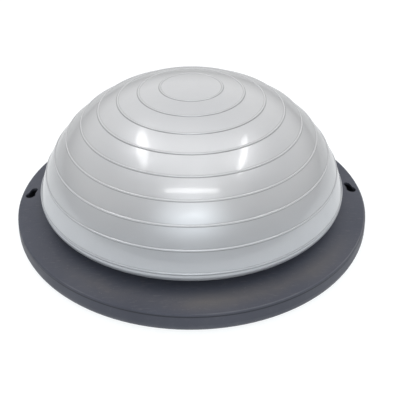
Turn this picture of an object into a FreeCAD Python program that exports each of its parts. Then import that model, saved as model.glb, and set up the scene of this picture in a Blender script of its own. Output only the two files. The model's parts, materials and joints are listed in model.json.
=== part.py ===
"""Balance dome trainer: an inflated ribbed half ball clamped into a round two-piece platform.

Millimetres. +Z is up, the origin is the centre of the footprint at the soles of the feet, and the
two band anchors lie along +X and -X. Each function builds one piece, and each piece is one node.
"""
import FreeCAD
import Part
import math
import os

Vector = FreeCAD.Vector
UP = Vector(0, 0, 1)
ORIGIN = Vector(0, 0, 0)

# Heights of the platform
FOOT_DROP = 3.0  # the feet stand this far below the platform's wall
WALL_BOTTOM = FOOT_DROP
RIM_TOP = 33.3  # top of the platform at its outer edge
LIP_TOP = 39.5  # the flange rises gently from the outer edge to this lip round the dome
SKIN = 4.0  # wall of the platform's mouldings

# Radii of the platform
RIM_R = 290.0  # outer edge of the flange
WALL_WIDEST_R = 291.3  # the wall swells a little, most at this height
WALL_WIDEST = 15.0
WALL_BOTTOM_R = 287.0
WALL_INNER_R = 284.5
EDGE_ROUND = 2.6
EDGE_BULGE = 0.42  # how near the round's middle comes to the corner: 0 reaches it, 1 is a flat chamfer
BORE_R = 222.0  # hole that the dome's neck passes through
LIP_ROUND = 4.5
COLLAR_R = 236.0  # outer radius of the clamping collar under the lip
CLAMP_TOP = 27.0  # underside of the collar, which presses on the dome's bead
STIFFENER_BOTTOM = 21.0  # ribs under the flange

# Dome: a flat crown arc, a rounder shoulder arc, then a tight curl that overhangs the flange
CROWN_R = 305.0
CROWN_ANGLE = 23.6
APEX = 241.7
SHOULDER_R = 223.0
SHOULDER_ANGLE = 75.6
CURL_R = 10.5
MEMBRANE = 3.0
NECK_GAP = 0.3  # between the dome's neck and the platform's lip
BEAD_R = 234.0
BEAD_THICK = 4.0

# Raised rings moulded on the dome, spaced evenly along its surface
RING_COUNT = 9
FIRST_RING = 48.6
RING_STEP = 34.5
RING_WIDTH = 3.4
RING_HEIGHT = 1.15

# Disc that closes the dome from below
FLOOR_THICK = 2.5
FLOOR_TOP = CLAMP_TOP - BEAD_THICK
LAND_TOP = FLOOR_TOP - FLOOR_THICK

# Base plate
PLATE_BOTTOM = 3.5
PLATE_SKIN = 3.0
PLATE_TOP = PLATE_BOTTOM + PLATE_SKIN
PLATE_GAP = 0.5  # between the plate's edge and the wall round it
LAND_INNER_R = 212.0
RIB_THICK = 3.0
HOOP_RADII = (70.0, 140.0)
SPOKE_COUNT = 16
TREAD_RADII = (60.0, 95.0, 130.0, 165.0, 200.0)
TREAD_WIDTH = 3.0
TREAD_HEIGHT = 1.0

# Hand grips: two curved pockets in the underside, at the front and the back
GRIP_INNER_R = 243.0
GRIP_OUTER_R = 273.0
GRIP_HALF_ANGLE = 11.5
GRIP_WALL = 3.0
GRIP_CORNER = 6.0
GRIP_GAP = 0.5  # between the pocket's wall and the plate
GRIP_ANGLES = (90.0, 270.0)

# Band anchors: keyholes in the flange, mirrored left and right
KEY_WIDE_X = 274.8
KEY_WIDE_Y = 10.3
KEY_WIDE_R = 8.3
KEY_NARROW_R = 5.9
KEY_LENGTH = 15.5
KEY_LEAN = 15.5  # degrees from +Y towards the axis
KEY_ANGLES = (0.0, 180.0)  # the middle of the bay under each keyhole
BAY_HALF_ANGLE = 15.0  # a full-height wall closes the bay at each side

# Screws
BOSS_R = 5.5
BOSS_BOTTOM = 9.5
CLAMP_SCREW_R = 246.0
CLAMP_SCREW_STEP = 15
RIM_SCREW_R = 274.0
RIM_SCREW_STEP = 30
SCREW_SHANK_R = 2.0
SCREW_PILOT_R = 2.05
SCREW_CLEAR_R = 2.4
SCREW_HEAD_R = 4.2
SCREW_HEAD_TOP = 7.0
SCREW_HEAD_THICK = 2.4
SCREW_HEAD_EDGE = 0.8  # upright part of the head's side
SCREW_HEAD_BULGE_R = 2.6
SCREW_HEAD_BULGE_DROP = 0.35
CROSS_LENGTH = 5.0
CROSS_WIDTH = 1.0
CROSS_DEPTH = 1.4
SCREW_TIP = 24.0
COUNTERBORE_R = 5.0
SCREW_CUP_R = 7.0

# Feet
FOOT_COUNT = 8
FOOT_CIRCLE_R = 257.0
FOOT_R = 16.0
FOOT_GAP = 0.3
FOOT_TOP = 5.5
FOOT_STEM_R = 3.8
FOOT_BARB_R = 5.2
FOOT_BARB_LENGTH = 3.0
FOOT_CUP_WALL = 3.0
FOOT_EDGE = 1.2
FOOT_GROOVES = (6.0, 11.0)
GROOVE_WIDTH = 1.6
GROOVE_DEPTH = 0.8

# Valve, on the axis
RECESS_R = 24.0
RECESS_TOP = 9.0
TUNNEL_R = 13.5
TUNNEL_WALL = 3.0
SEAT_R = 12.8
SEAT_BOTTOM = 12.5
SEAT_NECK_R = 6.2
SEAT_FLANGE_R = 17.0
SEAT_FLANGE_THICK = 2.0
VALVE_MOUTH_R = 4.6
VALVE_END_R = 4.1
PLUG_GAP = 0.05
PLUG_HEAD_R = 9.5
PLUG_HEAD_THICK = 2.6
PLUG_DISH_DEPTH = 0.8
PLUG_EDGE = 0.6
PLUG_UNDERCUT = 1.0  # a fingernail goes under the head's edge here
PLUG_TIP_TOP = 27.0
PLUG_TIP_R = 3.0


def at(radius, height):
    """A point of a profile, in the plane that is turned about the axis."""
    return Vector(radius, 0, height)


def polar(radius, degrees, height=0.0):
    """A point round the axis."""
    angle = math.radians(degrees)
    return Vector(radius * math.cos(angle), radius * math.sin(angle), height)


def line(start, end):
    return Part.LineSegment(start, end).toShape()


def arc(start, middle, end):
    return Part.Arc(start, middle, end).toShape()


def turned(edges):
    """The solid that a closed profile sweeps round the axis."""
    return Part.Face(Part.Wire(edges)).revolve(ORIGIN, UP, 360)


def turned_outline(points):
    """A turned solid with a straight-sided profile."""
    return turned([line(a, b) for a, b in zip(points, points[1:] + points[:1])])


def tube(inner, outer, bottom, top):
    """A ring of rectangular section."""
    return turned_outline([at(inner, bottom), at(outer, bottom), at(outer, top), at(inner, top)])


def disc(radius, bottom, top, place=ORIGIN):
    """An upright cylinder over a place in the plan."""
    return Part.makeCylinder(radius, top - bottom, Vector(place.x, place.y, bottom), UP)


def slab(length, width, bottom, top, angle):
    """A radial plate, standing out from the axis to a length at an angle."""
    plate = Part.makeBox(length, width, top - bottom, Vector(0, -width / 2, bottom))
    plate.rotate(ORIGIN, UP, angle)
    return plate


def flange_height(radius):
    """Top of the flange, a straight slope from the lip down to the rim."""
    slope = (LIP_TOP - RIM_TOP) / (RIM_R - BORE_R - LIP_ROUND)
    return RIM_TOP + slope * (RIM_R - radius)


# ---------------------------------------------------------------- the dome

def direction(degrees):
    """Outward normal of a turned surface, measured from straight up."""
    angle = math.radians(degrees)
    return at(math.sin(angle), math.cos(angle))


CROWN_CENTRE = at(0, APEX - CROWN_R)
SHOULDER_CENTRE = CROWN_CENTRE + direction(CROWN_ANGLE) * (CROWN_R - SHOULDER_R)
CURL_CENTRE = SHOULDER_CENTRE + direction(SHOULDER_ANGLE) * (SHOULDER_R - CURL_R)
LIP_CENTRE = at(BORE_R + LIP_ROUND, LIP_TOP - LIP_ROUND)
CROWN_LENGTH = CROWN_R * math.radians(CROWN_ANGLE)
SKIN_LENGTH = CROWN_LENGTH + SHOULDER_R * math.radians(SHOULDER_ANGLE - CROWN_ANGLE)


def underside_angle():
    """Normal of the cone that touches the curl on one side and the lip's round on the other."""
    gap = LIP_CENTRE - CURL_CENTRE
    reach = (CURL_R + LIP_ROUND + NECK_GAP) / gap.Length
    return math.degrees(math.atan2(gap.x, gap.z)) % 360 - math.degrees(math.acos(reach))


def on_skin(length, proud=0.0):
    """A point on the crown or shoulder, at a length of surface from the apex."""
    if length <= CROWN_LENGTH:
        return CROWN_CENTRE + direction(math.degrees(length / CROWN_R)) * (CROWN_R + proud)
    turn = CROWN_ANGLE + math.degrees((length - CROWN_LENGTH) / SHOULDER_R)
    return SHOULDER_CENTRE + direction(turn) * (SHOULDER_R + proud)


def skin_edges(start, end, proud=0.0):
    """Arcs of the crown and shoulder between two lengths of surface."""
    if start < CROWN_LENGTH < end:
        return skin_edges(start, CROWN_LENGTH, proud) + skin_edges(CROWN_LENGTH, end, proud)
    if start >= CROWN_LENGTH:
        first = SHOULDER_CENTRE + direction(
            CROWN_ANGLE + math.degrees((start - CROWN_LENGTH) / SHOULDER_R)
        ) * (SHOULDER_R + proud)
    else:
        first = on_skin(start, proud)
    return [arc(first, on_skin((start + end) / 2, proud), on_skin(end, proud))]


def below_skin(inset):
    """Curl, underside cone, bend round the lip and neck, and the point that they end at."""
    angle = underside_angle()
    curl_r = CURL_R - inset
    bend_r = LIP_ROUND + NECK_GAP + inset
    curl_start = CURL_CENTRE + direction(SHOULDER_ANGLE) * curl_r
    curl_middle = CURL_CENTRE + direction((SHOULDER_ANGLE + angle) / 2) * curl_r
    curl_end = CURL_CENTRE + direction(angle) * curl_r
    bend_start = LIP_CENTRE - direction(angle) * bend_r
    bend_middle = LIP_CENTRE - direction((angle + 90) / 2) * bend_r
    bend_end = LIP_CENTRE - direction(90) * bend_r
    edges = [
        arc(curl_start, curl_middle, curl_end),
        line(curl_end, bend_start),
        arc(bend_start, bend_middle, bend_end),
    ]
    return edges, bend_end


def dome_membrane():
    """Moulded shell with raised rings, a neck and an out-turned bead that is clamped."""
    outside = []
    reached = 0.0
    for k in range(RING_COUNT):
        middle = FIRST_RING + k * RING_STEP
        start = middle - RING_WIDTH / 2
        end = middle + RING_WIDTH / 2
        outside += skin_edges(reached, start)
        outside.append(arc(on_skin(start), on_skin(middle, RING_HEIGHT), on_skin(end)))
        reached = end
    outside += skin_edges(reached, SKIN_LENGTH)
    outer_lower, outer_neck = below_skin(0.0)
    inner_lower, inner_neck = below_skin(MEMBRANE)
    bead = [
        at(outer_neck.x, outer_neck.z),
        at(outer_neck.x, CLAMP_TOP),
        at(BEAD_R, CLAMP_TOP),
        at(BEAD_R, FLOOR_TOP),
        at(inner_neck.x, FLOOR_TOP),
        at(inner_neck.x, inner_neck.z),
    ]
    around_bead = [line(a, b) for a, b in zip(bead, bead[1:])]
    inside = skin_edges(0.0, SKIN_LENGTH, -MEMBRANE) + inner_lower
    inside.reverse()
    axis = line(on_skin(0.0, -MEMBRANE), on_skin(0.0))
    return turned(outside + outer_lower + around_bead + inside + [axis])


def bladder_floor():
    """Flat disc welded under the bead, with a hole for the valve seat."""
    return tube(SEAT_NECK_R, BEAD_R, LAND_TOP, FLOOR_TOP)


# ---------------------------------------------------------------- places round the platform

def clamp_screw_places():
    """Circle of screws beside the bead, left out where the hand grips are."""
    angles = range(0, 360, CLAMP_SCREW_STEP)
    return [polar(CLAMP_SCREW_R, a) for a in angles if a not in GRIP_ANGLES]


def rim_screw_places():
    """Circle of screws near the outer wall."""
    first = RIM_SCREW_STEP // 2
    return [polar(RIM_SCREW_R, a) for a in range(first, 360, RIM_SCREW_STEP)]


def foot_places():
    """Feet midway between the grips and the anchors, two to a quarter."""
    step = 360 / FOOT_COUNT
    return [polar(FOOT_CIRCLE_R, step * (k + 0.5)) for k in range(FOOT_COUNT)]


# ---------------------------------------------------------------- the platform's top ring

def keyhole(side):
    """Upright cutter with the outline of one band anchor."""
    lean = math.radians(KEY_LEAN)
    along = Vector(-math.sin(lean), math.cos(lean), 0)
    across = Vector(along.y, -along.x, 0) * KEY_NARROW_R
    wide = Vector(KEY_WIDE_X, KEY_WIDE_Y, 0)
    narrow = wide + along * KEY_LENGTH
    bottom = CLAMP_TOP
    top = LIP_TOP + SKIN
    lift = Vector(0, 0, bottom)
    corners = [narrow + across, wide + across, wide - across, narrow - across]
    outline = Part.makePolygon([c + lift for c in corners + corners[:1]])
    channel = Part.Face(outline).extrude(Vector(0, 0, top - bottom))
    ends = [disc(KEY_NARROW_R, bottom, top, narrow), disc(KEY_WIDE_R, bottom, top, wide)]
    cutter = channel.fuse(ends)
    if side < 0:
        cutter = cutter.mirror(ORIGIN, Vector(1, 0, 0))
    return cutter.removeSplitter()


def on_wall(height):
    """A point on the wall's outside: a shallow arc above the widest height and a rounder one below it."""
    end_r = WALL_BOTTOM_R if height < WALL_WIDEST else RIM_R
    end_height = WALL_BOTTOM if height < WALL_WIDEST else RIM_TOP
    swell = WALL_WIDEST_R - end_r
    arc_r = (swell ** 2 + (end_height - WALL_WIDEST) ** 2) / (2 * swell)
    drop = arc_r - math.sqrt(arc_r ** 2 - (height - WALL_WIDEST) ** 2)
    return at(WALL_WIDEST_R - drop, height)


def ring_shell():
    """Flange, lip, clamping collar and outer wall, turned as one section."""
    wall_in = at(WALL_INNER_R, WALL_BOTTOM)
    wall_out = at(WALL_BOTTOM_R, WALL_BOTTOM)
    widest = at(WALL_WIDEST_R, WALL_WIDEST)
    side_end = on_wall(RIM_TOP - EDGE_ROUND)
    edge_start = at(RIM_R - EDGE_ROUND, flange_height(RIM_R - EDGE_ROUND))
    corner = at(RIM_R, RIM_TOP)
    edge_middle = corner + ((side_end + edge_start) / 2 - corner) * EDGE_BULGE
    lip_start = at(LIP_CENTRE.x, LIP_TOP)
    lip_middle = LIP_CENTRE + direction(-45) * LIP_ROUND
    lip_end = at(BORE_R, LIP_CENTRE.z)
    under_rim = at(WALL_INNER_R, flange_height(WALL_INNER_R) - SKIN)
    under_lip = at(COLLAR_R, flange_height(COLLAR_R) - SKIN)
    return turned([
        line(wall_in, wall_out),
        arc(wall_out, on_wall((WALL_BOTTOM + WALL_WIDEST) / 2), widest),
        arc(widest, on_wall((WALL_WIDEST + side_end.z) / 2), side_end),
        arc(side_end, edge_middle, edge_start),
        line(edge_start, lip_start),
        arc(lip_start, lip_middle, lip_end),
        line(lip_end, at(BORE_R, CLAMP_TOP)),
        line(at(BORE_R, CLAMP_TOP), at(COLLAR_R, CLAMP_TOP)),
        line(at(COLLAR_R, CLAMP_TOP), under_lip),
        line(under_lip, under_rim),
        line(under_rim, wall_in),
    ])


def under_flange(bottom, depth):
    """Space from the collar out into the wall, up to a depth below the flange's top."""
    inside_wall = WALL_INNER_R + 1
    return turned_outline([
        at(COLLAR_R, bottom),
        at(inside_wall, bottom),
        at(inside_wall, flange_height(inside_wall) - depth),
        at(COLLAR_R - 1, flange_height(COLLAR_R) - depth),
        at(COLLAR_R - 1, CLAMP_TOP + 1),
        at(COLLAR_R, CLAMP_TOP + 1),
    ])


def turn_between(angle, other):
    """The smaller turn from one angle to another."""
    return abs((angle - other + 180) % 360 - 180)


def stiffener_angles():
    """Ribs between the clamping screws, left out where a keyhole or a hand grip needs the room."""
    halfway = [(k + 0.5) * CLAMP_SCREW_STEP for k in range(360 // CLAMP_SCREW_STEP)]
    kept_free = GRIP_ANGLES + KEY_ANGLES
    return [a for a in halfway if all(turn_between(a, f) > CLAMP_SCREW_STEP for f in kept_free)]


def grip_pocket(angle, grow, bottom, top):
    """Curved block in the shape of a hand grip's hollow, made larger by grow on every side."""
    inner = GRIP_INNER_R - grow
    outer = GRIP_OUTER_R + grow
    middle = (inner + outer) / 2
    half = GRIP_HALF_ANGLE + math.degrees(grow / middle)
    inner_start = polar(inner, -half, bottom)
    outer_start = polar(outer, -half, bottom)
    outer_end = polar(outer, half, bottom)
    inner_end = polar(inner, half, bottom)
    outline = Part.Wire([
        line(inner_start, outer_start),
        arc(outer_start, polar(outer, 0, bottom), outer_end),
        line(outer_end, inner_end),
        arc(inner_end, polar(inner, 0, bottom), inner_start),
    ])
    block = Part.Face(outline).extrude(Vector(0, 0, top - bottom))
    uprights = [e for e in block.Edges if abs(e.BoundBox.ZLength - (top - bottom)) < 1e-3]
    block = block.makeFillet(GRIP_CORNER + grow, uprights)
    block.rotate(ORIGIN, UP, angle)
    return block


def platform_top():
    """Ring that holds the dome down, with ribs, screw bosses and the grips' walls inside."""
    screws = clamp_screw_places() + rim_screw_places()
    bay_walls = [a + side * BAY_HALF_ANGLE for a in KEY_ANGLES for side in (-1, 1)]
    inner_parts = [disc(BOSS_R, BOSS_BOTTOM, LIP_TOP, p) for p in screws]
    inner_parts += [slab(RIM_R, RIB_THICK, STIFFENER_BOTTOM, LIP_TOP, a) for a in stiffener_angles()]
    inner_parts += [slab(RIM_R, RIB_THICK, BOSS_BOTTOM, LIP_TOP, a) for a in bay_walls]
    inner_parts += [grip_pocket(a, GRIP_WALL, PLATE_BOTTOM, LIP_TOP) for a in GRIP_ANGLES]
    inside = Part.makeCompound(inner_parts).common(under_flange(PLATE_BOTTOM, SKIN / 2))
    ring = ring_shell().fuse(inside.Solids)
    pilots = [disc(SCREW_PILOT_R, BOSS_BOTTOM, SCREW_TIP + 1, p) for p in screws]
    hand_room = Part.makeCompound([grip_pocket(a, 0.0, 0.0, LIP_TOP) for a in GRIP_ANGLES])
    hollows = hand_room.common(under_flange(0.0, SKIN)).Solids
    return ring.cut(pilots + hollows + [keyhole(1), keyhole(-1)])


# ---------------------------------------------------------------- the base plate

def platform_bottom():
    """Plate that closes the platform, with the clamping land, ribs, and cups for feet and screws."""
    plate_r = WALL_INNER_R - PLATE_GAP
    screws = clamp_screw_places() + rim_screw_places()
    solid_parts = [
        tube(LAND_INNER_R, COLLAR_R, PLATE_TOP - 1, LAND_TOP),
        disc(RECESS_R + TUNNEL_WALL, PLATE_BOTTOM, RECESS_TOP + TUNNEL_WALL),
        disc(TUNNEL_R + TUNNEL_WALL, PLATE_BOTTOM, LAND_TOP),
    ]
    solid_parts += [
        tube(r - RIB_THICK / 2, r + RIB_THICK / 2, PLATE_TOP - 1, LAND_TOP)
        for r in HOOP_RADII
    ]
    solid_parts += [
        tube(r - TREAD_WIDTH / 2, r + TREAD_WIDTH / 2, PLATE_BOTTOM - TREAD_HEIGHT, PLATE_BOTTOM + 1)
        for r in TREAD_RADII
    ]
    solid_parts += [
        slab(LAND_INNER_R + 1, RIB_THICK, PLATE_TOP - 1, LAND_TOP, 360 * k / SPOKE_COUNT)
        for k in range(SPOKE_COUNT)
    ]
    foot_cup_r = FOOT_R + FOOT_GAP + FOOT_CUP_WALL
    foot_cup_top = FOOT_TOP + FOOT_CUP_WALL
    stem_hole_r = FOOT_STEM_R + FOOT_GAP
    solid_parts += [disc(foot_cup_r, PLATE_BOTTOM, foot_cup_top, p) for p in foot_places()]
    solid_parts += [disc(SCREW_CUP_R, PLATE_BOTTOM, BOSS_BOTTOM, p) for p in screws]
    plate = disc(plate_r, PLATE_BOTTOM, PLATE_TOP).fuse(solid_parts)
    below = PLATE_BOTTOM - 2
    hollows = [
        disc(RECESS_R, below, RECESS_TOP),
        disc(TUNNEL_R, below, LAND_TOP + 1),
    ]
    hollows += [grip_pocket(a, GRIP_WALL + GRIP_GAP, below, LAND_TOP) for a in GRIP_ANGLES]
    hollows += [disc(FOOT_R + FOOT_GAP, below, FOOT_TOP, p) for p in foot_places()]
    hollows += [disc(stem_hole_r, below, foot_cup_top + 1, p) for p in foot_places()]
    hollows += [disc(COUNTERBORE_R, below, SCREW_HEAD_TOP, p) for p in screws]
    hollows += [disc(SCREW_CLEAR_R, below, BOSS_BOTTOM + 1, p) for p in screws]
    return plate.cut(hollows)


# ---------------------------------------------------------------- fasteners, feet and valve

def screw():
    """Round-headed screw with a cross recess, head down, on the axis."""
    head_bottom = SCREW_HEAD_TOP - SCREW_HEAD_THICK
    crown = at(0, head_bottom)
    shoulder = at(SCREW_HEAD_R, SCREW_HEAD_TOP - SCREW_HEAD_EDGE)
    bulge = at(SCREW_HEAD_BULGE_R, head_bottom + SCREW_HEAD_BULGE_DROP)
    taper_start = SCREW_TIP - 2 * SCREW_SHANK_R
    profile = [
        arc(crown, bulge, shoulder),
        line(shoulder, at(SCREW_HEAD_R, SCREW_HEAD_TOP)),
        line(at(SCREW_HEAD_R, SCREW_HEAD_TOP), at(SCREW_SHANK_R, SCREW_HEAD_TOP)),
        line(at(SCREW_SHANK_R, SCREW_HEAD_TOP), at(SCREW_SHANK_R, taper_start)),
        line(at(SCREW_SHANK_R, taper_start), at(0, SCREW_TIP)),
        line(at(0, SCREW_TIP), crown),
    ]
    corner = Vector(-CROSS_LENGTH / 2, -CROSS_WIDTH / 2, 0)
    slot = Part.makeBox(CROSS_LENGTH, CROSS_WIDTH, head_bottom + CROSS_DEPTH, corner)
    other = slot.copy()
    other.rotate(ORIGIN, UP, 90)
    return turned(profile).cut([slot, other])


def screw_group(places):
    """The same screw at each place."""
    one = screw()
    copies = []
    for place in places:
        copy = one.copy()
        copy.translate(place)
        copies.append(copy)
    return Part.makeCompound(copies)


def foot(place):
    """Rubber foot: a grooved pad with a barbed stem pushed through the plate."""
    barb_bottom = FOOT_TOP + FOOT_CUP_WALL + FOOT_GAP
    sole = [at(0, 0)]
    for r in FOOT_GROOVES:
        sole += [
            at(r - GROOVE_WIDTH / 2, 0),
            at(r - GROOVE_WIDTH / 2, GROOVE_DEPTH),
            at(r + GROOVE_WIDTH / 2, GROOVE_DEPTH),
            at(r + GROOVE_WIDTH / 2, 0),
        ]
    sole += [
        at(FOOT_R - FOOT_EDGE, 0),
        at(FOOT_R, FOOT_EDGE),
        at(FOOT_R, FOOT_TOP),
        at(FOOT_STEM_R, FOOT_TOP),
        at(FOOT_STEM_R, barb_bottom),
        at(FOOT_BARB_R, barb_bottom),
        at(FOOT_STEM_R, barb_bottom + FOOT_BARB_LENGTH),
        at(0, barb_bottom + FOOT_BARB_LENGTH),
    ]
    pad = turned_outline(sole)
    pad.translate(place)
    return pad


def valve_seat():
    """Rubber grommet welded into the bladder's floor, with a tapered bore."""
    flange_top = FLOOR_TOP + SEAT_FLANGE_THICK
    return turned_outline([
        at(VALVE_MOUTH_R, SEAT_BOTTOM),
        at(SEAT_R, SEAT_BOTTOM),
        at(SEAT_R, LAND_TOP),
        at(SEAT_NECK_R, LAND_TOP),
        at(SEAT_NECK_R, FLOOR_TOP),
        at(SEAT_FLANGE_R, FLOOR_TOP),
        at(SEAT_FLANGE_R, flange_top),
        at(VALVE_END_R, flange_top),
    ])


def valve_plug():
    """Push-in plug: a flat head with a finger rim, and a tapered stem that fills the bore."""
    head_top = SEAT_BOTTOM
    head_bottom = SEAT_BOTTOM - PLUG_HEAD_THICK
    flange_top = FLOOR_TOP + SEAT_FLANGE_THICK
    return turned_outline([
        at(0, head_bottom + PLUG_DISH_DEPTH),
        at(PLUG_TIP_R, head_bottom + PLUG_DISH_DEPTH),
        at(PLUG_TIP_R + PLUG_DISH_DEPTH, head_bottom),
        at(PLUG_HEAD_R - PLUG_EDGE, head_bottom),
        at(PLUG_HEAD_R, head_bottom + PLUG_EDGE),
        at(PLUG_HEAD_R, head_top - PLUG_UNDERCUT),
        at(PLUG_HEAD_R - PLUG_UNDERCUT, head_top),
        at(VALVE_MOUTH_R - PLUG_GAP, head_top),
        at(VALVE_END_R - PLUG_GAP, flange_top),
        at(PLUG_TIP_R, PLUG_TIP_TOP),
        at(0, PLUG_TIP_TOP),
    ])


def pieces():
    """Every node's name and its solid or solids."""
    named = {
        "dome_membrane": dome_membrane(),
        "bladder_floor": bladder_floor(),
        "valve_seat": valve_seat(),
        "valve_plug": valve_plug(),
        "platform_top": platform_top(),
        "platform_bottom": platform_bottom(),
        "clamp_screws": screw_group(clamp_screw_places()),
        "rim_screws": screw_group(rim_screw_places()),
    }
    for number, place in enumerate(foot_places(), start=1):
        named["foot_%d" % number] = foot(place)
    return named


def main():
    os.makedirs("parts", exist_ok=True)
    for name, shape in pieces().items():
        shape.exportStep("parts/%s.step" % name)
        valid = "valid" if shape.isValid() else "NOT VALID"
        print("%-16s %2d solids %9.1f cm3 %s" % (name, len(shape.Solids), shape.Volume / 1000, valid))


main()
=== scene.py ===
"""Looks of the balance dome trainer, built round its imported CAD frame. Metres, +Z up.

The inflated dome is turned as a fine mesh from a few named sizes. The other nodes stay as the
frame gives them, with moulded plastic, rubber, vinyl and steel.
"""
import json
import math

import bmesh
import bpy
from mathutils import Matrix, Vector


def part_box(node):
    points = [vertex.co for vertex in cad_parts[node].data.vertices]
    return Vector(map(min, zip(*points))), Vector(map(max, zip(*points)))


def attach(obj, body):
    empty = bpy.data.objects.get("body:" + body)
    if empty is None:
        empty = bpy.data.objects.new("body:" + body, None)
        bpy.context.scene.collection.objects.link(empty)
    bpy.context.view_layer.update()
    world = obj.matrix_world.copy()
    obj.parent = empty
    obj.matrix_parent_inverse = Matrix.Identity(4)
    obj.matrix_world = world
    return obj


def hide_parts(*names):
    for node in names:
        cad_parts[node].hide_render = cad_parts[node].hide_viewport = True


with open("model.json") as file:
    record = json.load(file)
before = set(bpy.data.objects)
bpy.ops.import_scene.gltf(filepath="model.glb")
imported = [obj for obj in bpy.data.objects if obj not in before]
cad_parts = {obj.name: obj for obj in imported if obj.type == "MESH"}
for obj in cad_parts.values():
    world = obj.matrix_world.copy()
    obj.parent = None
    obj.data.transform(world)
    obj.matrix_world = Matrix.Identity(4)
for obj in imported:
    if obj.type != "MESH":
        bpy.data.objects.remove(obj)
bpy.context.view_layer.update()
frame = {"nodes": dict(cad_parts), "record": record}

MM = 0.001

# ------------------------------------------------------------------ sizes that the dome has to fit

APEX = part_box("dome_membrane")[1].z
LIP_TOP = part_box("platform_top")[1].z
BEAD_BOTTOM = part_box("bladder_floor")[1].z
BEAD_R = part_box("bladder_floor")[1].x
SCREWS_UNDER_CLAMP = 3 * MM  # from the screws' tips up to the face that presses on the bead
CLAMP_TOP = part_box("clamp_screws")[1].z + SCREWS_UNDER_CLAMP
# The boxes don't give these four, so they repeat the CAD's sizes.
RIM_R = 290 * MM  # edge of the flange
RIM_TOP = 33.3 * MM
BORE_R = 222 * MM  # hole in the platform that the dome's neck goes through
LIP_ROUND = 4.5 * MM

# ------------------------------------------------------------------ the dome's section

CROWN_R = 305 * MM
CROWN_ANGLE = 23.6
SHOULDER_R = 223 * MM
SHOULDER_ANGLE = 75.6
CURL_R = 10.5 * MM
MEMBRANE = 3 * MM
NECK_GAP = 0.3 * MM

RING_COUNT = 9
FIRST_RING = 48.6 * MM
RING_STEP = 34.5 * MM
RING_MIDDLES = [FIRST_RING + k * RING_STEP for k in range(RING_COUNT)]
RING_HALF_WIDTH = 1.7 * MM
RING_HEIGHT = 1.15 * MM
RIDGE_R = (RING_HALF_WIDTH ** 2 + RING_HEIGHT ** 2) / (2 * RING_HEIGHT)
BAND_SWELL = 0.08 * MM  # the bands between the rings stand out a little under pressure

# ------------------------------------------------------------------ how finely the dome is cut

DOME_SIDES = 384
RING_CUTS = 8  # across one ring
BAND_CUTS = 7  # between two rings
BESIDE_RING = 0.25 * MM  # from a ring's foot to the next point of the section
INNER_SKIN_CUTS = 40
OUTER_CURL_CUTS = 12
INNER_CURL_CUTS = 8
ON_AXIS = 1e-6  # a point nearer to the axis than this is a pole

# ------------------------------------------------------------------ camera

CAMERA_AZIMUTH = -1.95  # degrees, negative to the left of the front
CAMERA_BACK = 1.0041
CAMERA_SIDE = 0.0136
CAMERA_HEIGHT = 0.7179
CAMERA_PITCH = 34.59  # degrees below the horizon
CAMERA_LENS = 64.16
SENSOR_WIDTH = 36

# ------------------------------------------------------------------ painted shade and light, dust and wear

RING_SHADE_REACH = 0.8 * MM  # how far the painted shade at a ring's foot spreads
UPPER_FOOT_SHADE = 0.5  # how dark the painted shade at a ring's upper foot is, next to its lower one
LOW_SHADE_SPAN = (0.045, 0.150)  # heights between which the painted cool shade low on the dome fades to neutral
DUST_AND_LIGHT_R = 266.0 * MM  # middle of the band of dust and painted light on the flange
DUST_AND_LIGHT_REACH = 24.0 * MM
DUST_AND_LIGHT_SPAN = (0.10, 0.24)  # from the plane through both keyholes, where it starts and is full
WORN_LIT_EDGE_R = RIM_R - 1.6 * MM  # middle of the flange's rounded edge, worn and with a painted highlight
WORN_LIT_EDGE_REACH = 1.3 * MM
WORN_LIT_EDGE_DEPTH = 2.0 * MM
EDGE_SHADOW_HEIGHT = RIM_TOP - 3.4 * MM  # middle of the painted shadow line under the flange's edge
EDGE_SHADOW_REACH = 1.7 * MM
EDGE_SHADOW_DEPTH = 0.5 * MM

# ------------------------------------------------------------------ colours

WHITE = (1.0, 1.0, 1.0)
SKY = (0.88, 0.95, 1.0)
PAPER_GLOW = (0.97, 0.99, 1.0)
PAPER = ((0.17, 0.17, 0.17), (0.20, 0.20, 0.20))
SILVER = ((0.505, 0.510, 0.524), (0.535, 0.538, 0.547))
# painted shade and a painted cool reflection low on the dome
LOW_SHADE_SILVER = (0.425, 0.455, 0.495)
SILVER_FLAKE = (0.64, 0.645, 0.655)
# painted shade at the rings' feet
RING_SHADE_COLOUR = (0.09, 0.09, 0.095)
DARK_GREY = ((0.058, 0.062, 0.082), (0.074, 0.079, 0.101))
# dust, and painted light on the flange's front and back
DUST_AND_LIGHT_TONE = (0.125, 0.117, 0.117)
SCUFF = (0.17, 0.165, 0.17)
# wear and a painted highlight on the flange's rounded edge
WORN_AND_LIT_EDGE = (0.17, 0.17, 0.185)
# painted shadow under the flange's edge
EDGE_SHADOW_COLOUR = (0.016, 0.017, 0.022)
BLACK_RUBBER = ((0.018, 0.018, 0.020), (0.050, 0.050, 0.052))
GREY_SHEET = ((0.36, 0.37, 0.38), (0.42, 0.43, 0.44))
LIGHT_GREY = ((0.62, 0.62, 0.61), (0.70, 0.70, 0.69))
ZINC = ((0.62, 0.62, 0.63), (0.42, 0.42, 0.43))

# ------------------------------------------------------------------ brightness of the surroundings

WORLD_FRONT = 0.27
WORLD_BACK = 1.12
WORLD_HORIZON = 0.28  # share of its brightness that is left low down
WORLD_DEPTH_SPAN = (-1.0, 0.9)  # of a direction's Y part
WORLD_HEIGHT_SPAN = (0.0, 0.35)  # of its Z part
FLOOR_HALF = 12.0
FLOOR_GLOW = 0.88
FLOOR_GLOW_BEHIND = 0.45  # what the back of the dome mirrors
FLOOR_DIM_SPAN = (-0.1, 0.6)  # Y between which it dims
STRIP_FADE = 0.45  # outer share of a side strip that falls off to nothing

# ------------------------------------------------------------------ spans of noise and slope

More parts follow.
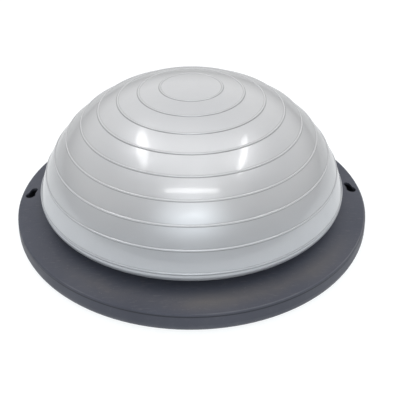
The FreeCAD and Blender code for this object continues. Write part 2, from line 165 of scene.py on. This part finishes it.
CLOUDY = (0.35, 0.65)  # of noise, for broad soft changes
BROAD = (0.3, 0.7)
SLOPE = (0.3, 0.9)  # of a normal's Z, from upright to level


# ------------------------------------------------------------------ meshes

def place_in_scene(name, data):
    """Object in the scene that shows a mesh, a light or a camera."""
    made = bpy.data.objects.new(name, data)
    bpy.context.scene.collection.objects.link(made)
    return made


def direction(degrees):
    """Outward normal of a turned surface as (radius, height), measured from straight up."""
    angle = math.radians(degrees)
    return Vector((math.sin(angle), math.cos(angle)))


def spread(start, end, count):
    """Evenly spaced values from start to end, both included."""
    return [start + (end - start) * k / count for k in range(count + 1)]


def sweep(centre, radius, start, end, count, inwards=False):
    """Points of an arc of a section, given by the angles of its outward normal."""
    sign = -1 if inwards else 1
    return [centre + direction(a) * radius * sign for a in spread(start, end, count)]


def lathe(name, outline, sides):
    """Closed mesh turned from a closed outline of (radius, height) points.

    A point on the axis becomes a pole.
    """
    mesh = bmesh.new()
    turns = [2 * math.pi * k / sides for k in range(sides)]
    rows = []
    for radius, height in outline:
        if radius < ON_AXIS:
            places = [(0, 0, height)]
        else:
            places = [(radius * math.cos(a), radius * math.sin(a), height) for a in turns]
        rows.append([mesh.verts.new(place) for place in places])
    for upper, lower in zip(rows, rows[1:] + rows[:1]):
        if len(upper) == 1 and len(lower) == 1:
            continue
        for k in range(sides):
            after = (k + 1) % sides
            corners = [upper[k % len(upper)], lower[k % len(lower)]]
            if len(lower) > 1:
                corners.append(lower[after])
            if len(upper) > 1:
                corners.append(upper[after])
            mesh.faces.new(corners)
    bmesh.ops.recalc_face_normals(mesh, faces=mesh.faces)
    data = bpy.data.meshes.new(name)
    mesh.to_mesh(data)
    mesh.free()
    data.shade_smooth()
    return place_in_scene(name, data)


CROWN_CENTRE = Vector((0, APEX - CROWN_R))
SHOULDER_CENTRE = CROWN_CENTRE + direction(CROWN_ANGLE) * (CROWN_R - SHOULDER_R)
CURL_CENTRE = SHOULDER_CENTRE + direction(SHOULDER_ANGLE) * (SHOULDER_R - CURL_R)
LIP_CENTRE = Vector((BORE_R + LIP_ROUND, LIP_TOP - LIP_ROUND))
CROWN_LENGTH = CROWN_R * math.radians(CROWN_ANGLE)
SKIN_LENGTH = CROWN_LENGTH + SHOULDER_R * math.radians(SHOULDER_ANGLE - CROWN_ANGLE)


def underside_angle():
    """Normal of the cone that touches the curl on one side and the lip's round on the other."""
    gap = LIP_CENTRE - CURL_CENTRE
    reach = (CURL_R + LIP_ROUND + NECK_GAP) / gap.length
    return math.degrees(math.atan2(gap.x, gap.y)) % 360 - math.degrees(math.acos(reach))


def on_skin(length, proud):
    """A point at a length of surface from the apex, on the crown or the shoulder."""
    if length <= CROWN_LENGTH:
        return CROWN_CENTRE + direction(math.degrees(length / CROWN_R)) * (CROWN_R + proud)
    turn = CROWN_ANGLE + math.degrees((length - CROWN_LENGTH) / SHOULDER_R)
    return SHOULDER_CENTRE + direction(turn) * (SHOULDER_R + proud)


def relief(length):
    """How far the surface stands out: a ridge at each ring and a faint swell between rings."""
    place = (length - FIRST_RING) / RING_STEP
    nearest = min(max(round(place), 0), RING_COUNT - 1)
    away = abs(length - FIRST_RING - nearest * RING_STEP)
    ridge = 0.0
    if away < RING_HALF_WIDTH:
        drop = RIDGE_R - RING_HEIGHT
        ridge = math.sqrt(RIDGE_R ** 2 - away ** 2) - drop
    swell = 0.0
    if 0 < place < RING_COUNT - 1:
        swell = BAND_SWELL * math.sin(math.pi * (place % 1.0))
    return ridge + swell


def skin_stations():
    """Lengths of surface where the dome's section has a point: close together at each ring."""
    stations = set()
    previous = 0.0
    for middle in RING_MIDDLES:
        start = middle - RING_HALF_WIDTH
        end = middle + RING_HALF_WIDTH
        stations.update(spread(previous, start - RING_SHADE_REACH, BAND_CUTS))
        stations.update((start - RING_SHADE_REACH / 2, start - BESIDE_RING))
        stations.update(spread(start, end, RING_CUTS))
        stations.update((end + BESIDE_RING, end + RING_SHADE_REACH / 2))
        previous = end + RING_SHADE_REACH
        stations.add(previous)
    stations.add(SKIN_LENGTH)
    return sorted(stations)


def lower_section(inset, count):
    """Curl, underside cone and bend round the lip."""
    angle = underside_angle()
    curl = sweep(CURL_CENTRE, CURL_R - inset, SHOULDER_ANGLE, angle, count)
    bend = sweep(LIP_CENTRE, LIP_ROUND + NECK_GAP + inset, angle, 90, count, inwards=True)
    return curl[1:] + bend


def closeness(place, feet):
    """1 at the nearest foot of a ring, 0 at the painted shade's reach and negative beyond it."""
    return 1.0 - min((place - foot).length for foot in feet) / RING_SHADE_REACH


def mark_ring_shade(dome):
    """Stores how close each point of the skin is to a ring's foot, for the painted shade there."""
    marks = dome.data.attributes.new("painted_ring_shade", "FLOAT", "POINT")
    lower_feet = [on_skin(middle + RING_HALF_WIDTH, 0.0) for middle in RING_MIDDLES]
    upper_feet = [on_skin(middle - RING_HALF_WIDTH, 0.0) for middle in RING_MIDDLES]
    for vertex in dome.data.vertices:
        place = Vector((math.hypot(vertex.co.x, vertex.co.y), vertex.co.z))
        below = closeness(place, lower_feet)
        above = closeness(place, upper_feet) * UPPER_FOOT_SHADE
        marks.data[vertex.index].value = max(0.0, below, above)


def make_dome():
    """Inflated membrane with its raised rings, its neck and its clamped bead."""
    outside = [on_skin(s, relief(s)) for s in skin_stations()]
    outside += lower_section(0.0, OUTER_CURL_CUTS)
    inside = [on_skin(s, -MEMBRANE) for s in spread(0.0, SKIN_LENGTH, INNER_SKIN_CUTS)]
    inside += lower_section(MEMBRANE, INNER_CURL_CUTS)
    outer_neck = outside[-1].x
    inner_neck = inside[-1].x
    bead = [
        Vector((outer_neck, CLAMP_TOP)),
        Vector((BEAD_R, CLAMP_TOP)),
        Vector((BEAD_R, BEAD_BOTTOM)),
        Vector((inner_neck, BEAD_BOTTOM)),
    ]
    dome = lathe("dome_skin", outside + bead + inside[::-1], DOME_SIDES)
    mark_ring_shade(dome)
    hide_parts("dome_membrane")
    return dome


# ------------------------------------------------------------------ node trees

class Nodes:
    """The node tree of a material, a light or a world, with short ways to fill it."""

    def __init__(self, owner):
        owner.use_nodes = True
        self.nodes = owner.node_tree.nodes
        self.links = owner.node_tree.links

    def add(self, kind, **values):
        node = self.nodes.new(kind)
        for key, value in values.items():
            setattr(node, key, value)
        return node

    def parts(self, vector):
        """The X, Y and Z outputs of a vector."""
        node = self.add("ShaderNodeSeparateXYZ")
        self.links.new(vector, node.inputs["Vector"])
        return node.outputs

    def remap(self, value, span, onto=(0.0, 1.0), curve="LINEAR"):
        """Carries a value from one span onto another, and holds it at the ends."""
        node = self.add("ShaderNodeMapRange", interpolation_type=curve)
        node.inputs["From Min"].default_value, node.inputs["From Max"].default_value = span
        node.inputs["To Min"].default_value, node.inputs["To Max"].default_value = onto
        self.links.new(value, node.inputs["Value"])
        return node.outputs["Result"]

    def math(self, operation, first, second=0.0):
        node = self.add("ShaderNodeMath", operation=operation)
        for socket, value in zip(node.inputs, (first, second)):
            if isinstance(value, (int, float)):
                socket.default_value = value
            else:
                self.links.new(value, socket)
        return node.outputs["Value"]

    def times(self, first, second):
        return self.math("MULTIPLY", first, second)

    def either(self, choice, first, second):
        """The first shader where the choice is 0, the second where it is 1."""
        node = self.add("ShaderNodeMixShader")
        for socket, value in zip(node.inputs, (choice, first, second)):
            self.links.new(value, socket)
        return node.outputs["Shader"]

    def camera_rays(self):
        """1 for what the camera sees directly, 0 for what lights the object or shows in it."""
        return self.add("ShaderNodeLightPath").outputs["Is Camera Ray"]


class Shader(Nodes):
    """A material whose textures are laid out in the object's own coordinates."""

    def __init__(self, name):
        self.material = bpy.data.materials.new(name)
        super().__init__(self.material)
        self.surface = self.nodes["Principled BSDF"]
        self.place = self.add("ShaderNodeTexCoord").outputs["Object"]

    def set(self, **values):
        for key, value in values.items():
            self.surface.inputs[key.replace("_", " ")].default_value = value

    def join(self, value, socket):
        self.links.new(value, self.surface.inputs[socket])

    def noise(self, scale, detail=3.0, roughness=0.5, stretch=(1, 1, 1)):
        mapping = self.add("ShaderNodeMapping")
        mapping.inputs["Scale"].default_value = stretch
        self.links.new(self.place, mapping.inputs["Vector"])
        texture = self.add("ShaderNodeTexNoise")
        texture.inputs["Scale"].default_value = scale
        texture.inputs["Detail"].default_value = detail
        texture.inputs["Roughness"].default_value = roughness
        self.links.new(mapping.outputs["Vector"], texture.inputs["Vector"])
        return texture.outputs["Fac"]

    def mix(self, amount, first, second):
        """The first colour where the amount is 0, the second where it is 1."""
        node = self.add("ShaderNodeMix", data_type="RGBA")
        for name, value in (("Factor", amount), ("A", first), ("B", second)):
            socket = [s for s in node.inputs if s.name == name and s.enabled][0]
            if isinstance(value, tuple):
                socket.default_value = (*value, 1.0)
            else:
                self.links.new(value, socket)
        return [s for s in node.outputs if s.enabled][0]

    def facing_up(self):
        """1 where the surface is level, 0 where it is upright."""
        normal = self.add("ShaderNodeNewGeometry").outputs["Normal"]
        return self.remap(self.parts(normal)["Z"], SLOPE)

    def round_the_axis(self):
        """A point's distances from the upright axis and the plane through both keyholes.

        Its height comes third.
        """
        x, y, z = self.parts(self.place)
        squares = self.math("ADD", self.times(x, x), self.times(y, y))
        return self.math("SQRT", squares), self.math("ABSOLUTE", y), z

    def near(self, value, middle, reach):
        """1 at a value, falling to 0 at a reach either side of it."""
        away = self.math("ABSOLUTE", self.math("SUBTRACT", value, middle))
        return self.remap(away, (0.0, reach), onto=(1.0, 0.0))

    def bump(self, height, strength, depth, under=None):
        node = self.add("ShaderNodeBump")
        node.inputs["Strength"].default_value = strength
        node.inputs["Distance"].default_value = depth
        self.links.new(height, node.inputs["Height"])
        if under is not None:
            self.links.new(under, node.inputs["Normal"])
        return node.outputs["Normal"]


# ------------------------------------------------------------------ materials

def dome_vinyl():
    """Pearly silver inflated vinyl: a broad soft sheen under a clear glossy surface."""
    s = Shader("dome_vinyl")
    s.set(Metallic=0.45, Coat_Weight=1.0, Coat_Roughness=0.085, Coat_IOR=1.5, IOR=1.46)
    cloud = s.remap(s.noise(5.0, detail=4.0), CLOUDY)
    # Painted shade and a painted cool reflection: darker and bluer towards the bottom of the dome.
    low_shade = s.remap(s.round_the_axis()[2], LOW_SHADE_SPAN, onto=(0.8, 0.0))
    flake = s.remap(s.noise(2600.0, detail=1.0), (0.55, 0.75), onto=(0.0, 0.3))
    # Painted shade at the rings' feet, darker at each ring's lower foot.
    painted_ring_shade = s.add("ShaderNodeAttribute", attribute_name="painted_ring_shade").outputs["Fac"]
    ring_shade_amount = s.remap(painted_ring_shade, (0.0, 0.6), onto=(0.0, 0.55))
    silver = s.mix(low_shade, s.mix(cloud, *SILVER), LOW_SHADE_SILVER)
    s.join(s.mix(ring_shade_amount, s.mix(flake, silver, SILVER_FLAKE), RING_SHADE_COLOUR), "Base Color")
    smears = s.noise(38.0, detail=5.0, roughness=0.65)
    s.join(s.remap(smears, (0.45, 0.70), onto=(0.36, 0.46)), "Roughness")
    wave = s.bump(s.noise(7.0, detail=2.0), strength=0.15, depth=0.8 * MM)
    peel = s.bump(s.noise(420.0, detail=2.0), strength=0.08, depth=0.10 * MM, under=wave)
    s.join(peel, "Normal")
    return s.material


def platform_plastic():
    """Dark grey moulded plastic: dust and scuffs on level faces, painted light at front and back, a
    worn edge with a painted highlight and a painted shadow under it.
    """
    s = Shader("platform_plastic")
    s.set(IOR=1.48, Specular_IOR_Level=0.24)
    radius, across, height = s.round_the_axis()
    level = s.facing_up()
    cloud = s.remap(s.noise(7.0, detail=4.0, roughness=0.6), BROAD)
    base = s.mix(cloud, *DARK_GREY)

    patchy = s.noise(6.0, detail=6.0, roughness=0.62)
    patches = s.remap(patchy, (0.42, 0.60), onto=(0.25, 1.0))
    # Dust, and painted light that makes the flange's middle band lighter at its front and back than
    # at its sides.
    dust_and_light_band = s.times(s.near(radius, DUST_AND_LIGHT_R, DUST_AND_LIGHT_REACH), s.remap(across, DUST_AND_LIGHT_SPAN))
    dust_and_light = s.times(s.times(patches, dust_and_light_band), level)
    dusty_and_lit = s.mix(s.times(dust_and_light, 0.9), base, DUST_AND_LIGHT_TONE)

    grit = s.noise(340.0, detail=2.0, roughness=0.6)
    speck = s.remap(grit, (0.66, 0.80), onto=(0.0, 0.55))
    streaks = s.noise(60.0, detail=5.0, roughness=0.7, stretch=(1.0, 5.0, 1.0))
    scuff = s.remap(streaks, (0.56, 0.78), onto=(0.0, 0.45))
    exposed = s.remap(level, (0.0, 1.0), onto=(0.35, 1.0))
    marked = s.mix(s.times(s.math("MAXIMUM", speck, scuff), exposed), dusty_and_lit, SCUFF)

    # Wear in patches and a painted highlight along the flange's rounded edge.
    edge = s.times(s.near(radius, WORN_LIT_EDGE_R, WORN_LIT_EDGE_REACH), s.near(height, RIM_TOP, WORN_LIT_EDGE_DEPTH))
    rubbed_and_lit = s.times(edge, s.remap(s.noise(4.0), (0.46, 0.58), onto=(0.0, 0.8)))
    edged = s.mix(rubbed_and_lit, marked, WORN_AND_LIT_EDGE)

    # Painted shadow in a dark line just under the flange's edge.
    outermost = s.remap(radius, (RIM_R - EDGE_SHADOW_DEPTH, RIM_R))
    edge_shadow = s.times(outermost, s.near(height, EDGE_SHADOW_HEIGHT, EDGE_SHADOW_REACH))
    s.join(s.mix(s.times(edge_shadow, 0.9), edged, EDGE_SHADOW_COLOUR), "Base Color")

    satin = s.noise(24.0, detail=4.0, roughness=0.6)
    s.join(s.remap(satin, BROAD, onto=(0.40, 0.55)), "Roughness")
    wave = s.bump(s.noise(14.0, detail=2.0), strength=0.2, depth=0.8 * MM)
    grain = s.bump(s.noise(1500.0, detail=2.0), strength=0.25, depth=0.10 * MM, under=wave)
    s.join(grain, "Normal")
    return s.material


def foot_rubber():
    """Black rubber with a powdery surface."""
    s = Shader("foot_rubber")
    s.set(IOR=1.5)
    bloom = s.remap(s.noise(90.0, detail=5.0, roughness=0.7), (0.4, 0.75))
    s.join(s.mix(bloom, *BLACK_RUBBER), "Base Color")
    s.join(s.remap(bloom, (0.0, 1.0), onto=(0.65, 0.85)), "Roughness")
    s.join(s.bump(s.noise(1200.0), strength=0.4, depth=0.08 * MM), "Normal")
    return s.material


def floor_vinyl():
    """Plain grey vinyl sheet."""
    s = Shader("floor_vinyl")
    cloud = s.remap(s.noise(12.0, detail=4.0), CLOUDY)
    s.join(s.mix(cloud, *GREY_SHEET), "Base Color")
    s.join(s.remap(s.noise(60.0), BROAD, onto=(0.45, 0.60)), "Roughness")
    s.join(s.bump(s.noise(700.0, detail=2.0), strength=0.3, depth=0.1 * MM), "Normal")
    return s.material


def plug_vinyl():
    """Light grey moulded vinyl."""
    s = Shader("plug_vinyl")
    cloud = s.noise(150.0)
    s.join(s.mix(s.remap(cloud, CLOUDY), *LIGHT_GREY), "Base Color")
    s.join(s.remap(cloud, BROAD, onto=(0.35, 0.5)), "Roughness")
    s.join(s.bump(s.noise(900.0, detail=2.0), strength=0.2, depth=0.05 * MM), "Normal")
    return s.material


def screw_steel():
    """Zinc plated steel, a little dull."""
    s = Shader("screw_steel")
    s.set(Metallic=1.0)
    tarnish = s.remap(s.noise(260.0, detail=4.0, roughness=0.6), (0.35, 0.7))
    s.join(s.mix(tarnish, *ZINC), "Base Color")
    s.join(s.remap(tarnish, (0.0, 1.0), onto=(0.25, 0.45)), "Roughness")
    s.join(s.bump(s.noise(1800.0, detail=2.0), strength=0.2, depth=0.03 * MM), "Normal")
    return s.material


def floor_paper():
    """Bright seamless paper that glows, so shadows on it stay faint.

    Its glow is weaker behind the object, except to the camera, and from below it is clear.
    """
    s = Shader("floor_paper")
    s.join(s.mix(s.noise(3.0), *PAPER), "Base Color")
    s.set(Roughness=0.9, Emission_Color=(*PAPER_GLOW, 1.0))
    ends = (FLOOR_GLOW, FLOOR_GLOW_BEHIND)
    glow = s.remap(s.parts(s.place)["Y"], FLOOR_DIM_SPAN, onto=ends)
    to_camera = s.times(s.camera_rays(), FLOOR_GLOW)
    s.join(s.math("MAXIMUM", glow, to_camera), "Emission Strength")
    below = s.add("ShaderNodeNewGeometry").outputs["Backfacing"]
    clear = s.add("ShaderNodeBsdfTransparent").outputs["BSDF"]
    shown = s.either(below, s.surface.outputs["BSDF"], clear)
    s.links.new(shown, s.nodes["Material Output"].inputs["Surface"])
    return s.material


MATERIALS = {
    "dome_vinyl": dome_vinyl(),
    "platform_plastic": platform_plastic(),
    "foot_rubber": foot_rubber(),
    "floor_vinyl": floor_vinyl(),
    "plug_vinyl": plug_vinyl(),
    "screw_steel": screw_steel(),
}
MATERIALS["valve_rubber"] = MATERIALS["foot_rubber"]


def paint_frame_nodes():
    """Gives every node of the frame the finish that its record names."""
    for part in frame["record"]["subparts"]:
        node = frame["nodes"][part["node"]]
        for slot in node.material_slots:
            slot.material = MATERIALS[part["material_slot"]]


# ------------------------------------------------------------------ studio

def fade_edges(data, share):
    """Dims a lamp over the outer share of its face, like a diffuser lit from behind."""
    middle = (0.5, 0.5, 0.0)
    edge = 0.5
    lamp = Nodes(data)
    away = lamp.add("ShaderNodeVectorMath", operation="DISTANCE")
    lamp.links.new(lamp.add("ShaderNodeNewGeometry").outputs["Parametric"], away.inputs[0])
    away.inputs[1].default_value = middle
    fade = lamp.remap(away.outputs["Value"], (edge, edge * (1 - share)), curve="SMOOTHSTEP")
    lamp.links.new(fade, lamp.nodes["Emission"].inputs["Strength"])


def softbox(name, place, size, radiance, tilt=0.0, turn=0.0, tint=WHITE, fades=0.0):
    """Rectangular area light, placed as seen from the camera's side.

    Tilt 0 faces down, and tilt 90 faces away from the camera.
    """
    data = bpy.data.lights.new(name, "AREA")
    data.shape = "RECTANGLE"
    data.size, data.size_y = size
    data.energy = radiance * math.pi * size[0] * size[1]
    data.color = tint
    if fades:
        fade_edges(data, fades)
    lamp = place_in_scene(name, data)
    heading = Matrix.Rotation(math.radians(CAMERA_AZIMUTH), 4, "Z")
    pose = Matrix.Translation(place) @ Matrix.Rotation(math.radians(turn), 4, "Z")
    lamp.matrix_world = heading @ pose @ Matrix.Rotation(math.radians(tilt), 4, "X")
    lamp.visible_camera = False


def make_world():
    """Soft surroundings, dimmer in front and low down, and plain white to the camera."""
    world = bpy.data.worlds.new("studio")
    bpy.context.scene.world = world
    tree = Nodes(world)
    parts = tree.parts(tree.add("ShaderNodeTexCoord").outputs["Generated"])
    in_depth = tree.remap(parts["Y"], WORLD_DEPTH_SPAN, onto=(WORLD_FRONT, WORLD_BACK))
    in_height = tree.remap(parts["Z"], WORLD_HEIGHT_SPAN, onto=(WORLD_HORIZON, 1.0))
    around = tree.nodes["Background"]
    around.inputs["Color"].default_value = (*WHITE, 1.0)
    tree.links.new(tree.times(in_depth, in_height), around.inputs["Strength"])
    backdrop = tree.add("ShaderNodeBackground")
    backdrop.inputs["Color"].default_value = (*WHITE, 1.0)
    lit, plain = [node.outputs["Background"] for node in (around, backdrop)]
    shown = tree.either(tree.camera_rays(), lit, plain)
    tree.links.new(shown, tree.nodes["World Output"].inputs["Surface"])


def make_lights():
    """Strips that show as bright bars on the dome, and broad boxes that fade at their edges."""
    softbox("left_strip", (-1.02, 0.18, 2.0), (0.40, 1.7), 5.4, turn=-5, fades=STRIP_FADE)
    softbox("right_strip", (1.12, -0.02, 2.0), (0.25, 1.7), 7.5, turn=4, fades=STRIP_FADE)
    softbox("front_strip", (0.0, -1.36, 2.0), (1.45, 0.2), 6.0)
    softbox("front_box", (0.0, -2.0, 1.5), (3.0, 2.0), 2.95, tilt=90, tint=SKY, fades=1.0)
    softbox("front_core", (0.08, -1.99, 1.5), (1.0, 0.5), 2.5, tilt=90, tint=SKY, fades=1.0)
    softbox("overhead", (0.0, -0.3, 2.1), (3.4, 3.0), 1.1, fades=1.0)


def make_floor():
    data = bpy.data.meshes.new("floor")
    half = FLOOR_HALF
    corners = [(-half, -half, 0), (half, -half, 0), (half, half, 0), (-half, half, 0)]
    data.from_pydata(corners, [], [(0, 1, 2, 3)])
    data.materials.append(floor_paper())
    floor = place_in_scene("floor", data)


def make_camera():
    data = bpy.data.cameras.new("camera")
    data.sensor_width = SENSOR_WIDTH
    data.lens = CAMERA_LENS
    camera = place_in_scene("camera", data)
    turn = math.radians(CAMERA_AZIMUTH)
    camera.location = (
        CAMERA_SIDE * math.cos(turn) + CAMERA_BACK * math.sin(turn),
        CAMERA_SIDE * math.sin(turn) - CAMERA_BACK * math.cos(turn),
        CAMERA_HEIGHT,
    )
    camera.rotation_euler = (math.radians(90 - CAMERA_PITCH), 0, turn)
    bpy.context.scene.camera = camera


make_camera()
make_world()
make_lights()
make_floor()
paint_frame_nodes()
dome = make_dome()
dome.data.materials.append(MATERIALS["dome_vinyl"])
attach(dome, "trainer")
bpy.context.scene.view_settings.view_transform = "Standard"
